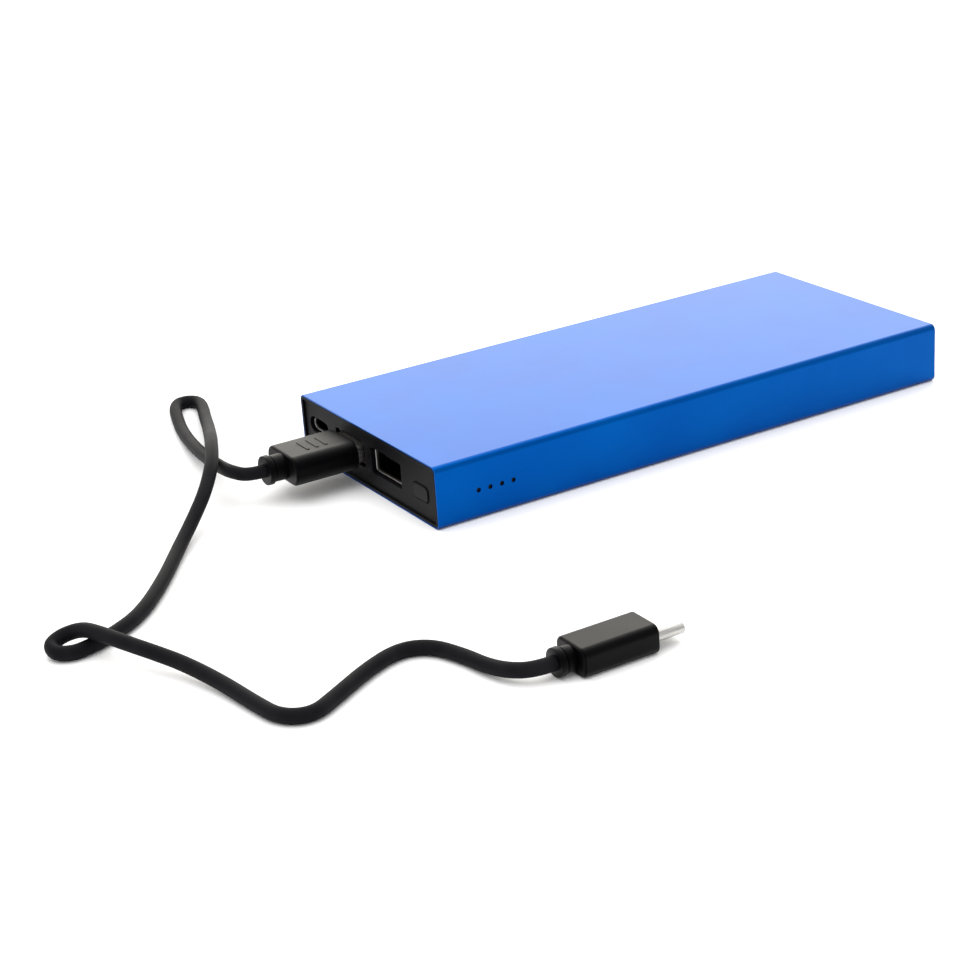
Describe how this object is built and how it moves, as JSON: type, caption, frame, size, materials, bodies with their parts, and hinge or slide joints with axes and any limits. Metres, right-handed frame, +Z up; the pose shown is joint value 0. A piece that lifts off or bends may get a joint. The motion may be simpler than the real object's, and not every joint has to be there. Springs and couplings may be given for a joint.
{
  "type": "power bank",
  "caption": "Slim power bank in a blue aluminium sleeve with black end caps, USB sockets, a power button, and a charging lead plugged in.",
  "frame": {"origin": "middle of the power bank's underside, measured without the lead", "axes": "+X from the port end towards the rear end, +Z up, -Y side wall carries the charge indicator holes"},
  "size_m": [0.2408, 0.1959, 0.015],
  "materials": {
    "sleeve": "blue anodised, fine satin",
    "cap": "black, fine moulded texture",
    "button": "black, smooth satin",
    "socket_metal": "nickel plated",
    "tongue": "black nylon",
    "gold": "gold plated contacts",
    "carrier": "dark grey moulding",
    "pouch": "laminated foil",
    "foam": "closed-cell foam",
    "tape": "double-sided tape",
    "nickel": "nickel strip",
    "board": "green solder mask",
    "screw": "zinc plated",
    "chip": "moulded epoxy",
    "ferrite": "ferrite",
    "ceramic": "ceramic chip",
    "led": "clear epoxy",
    "guide": "smoked clear plastic",
    "plug_moulding": "black soft moulding",
    "cable": "black satin jacket"
  },
  "bodies": {
    "case": {"sleeve": "sleeve", "port_cap": "cap", "rear_cap": "cap", "carrier": "carrier", "cell_lower": "pouch", "cell_upper": "pouch", "cell_tape": "tape", "top_foam": "foam", "positive_tab": "nickel", "negative_tab": "nickel", "circuit_board": "board", "board_screws": "screw", "inductor": "ferrite", "power_chip": "chip", "protection_chips": "chip", "capacitors": "ceramic", "resistors": "chip", "usb_a_shell_1": "socket_metal", "usb_a_shell_2": "socket_metal", "usb_a_tongue_1": "tongue", "usb_a_tongue_2": "tongue", "usb_a_contacts_1": "gold", "usb_a_contacts_2": "gold", "usb_c_shell": "socket_metal", "usb_c_tongue": "tongue", "usb_c_contacts": "gold", "tact_switch_body": "chip", "indicator_leds": "led", "light_guide": "guide"},
    "power_button": {"power_button": "button", "tact_plunger": "button"},
    "charging_lead": {"usb_a_plug_shell": "socket_metal", "usb_a_plug_insert": "tongue", "usb_a_plug_contacts": "gold", "usb_a_plug_body": "plug_moulding", "usb_a_strain_relief": "plug_moulding", "lead_cable": "cable", "usb_c_plug_body": "plug_moulding", "usb_c_strain_relief": "plug_moulding", "usb_c_plug_shell": "socket_metal", "usb_c_plug_insert": "tongue"}
  },
  "joints": [
    {"name": "power_button_press", "type": "slide", "parent": "case", "child": "power_button", "axis": [1, 0, 0], "range_m": [0, 0.0003], "stiffness_N_per_m": 4000},
    {"name": "lead_unplug", "type": "slide", "parent": "case", "child": "charging_lead", "axis": [-1, 0, 0], "range_m": [0, 0.013]}
  ]
}
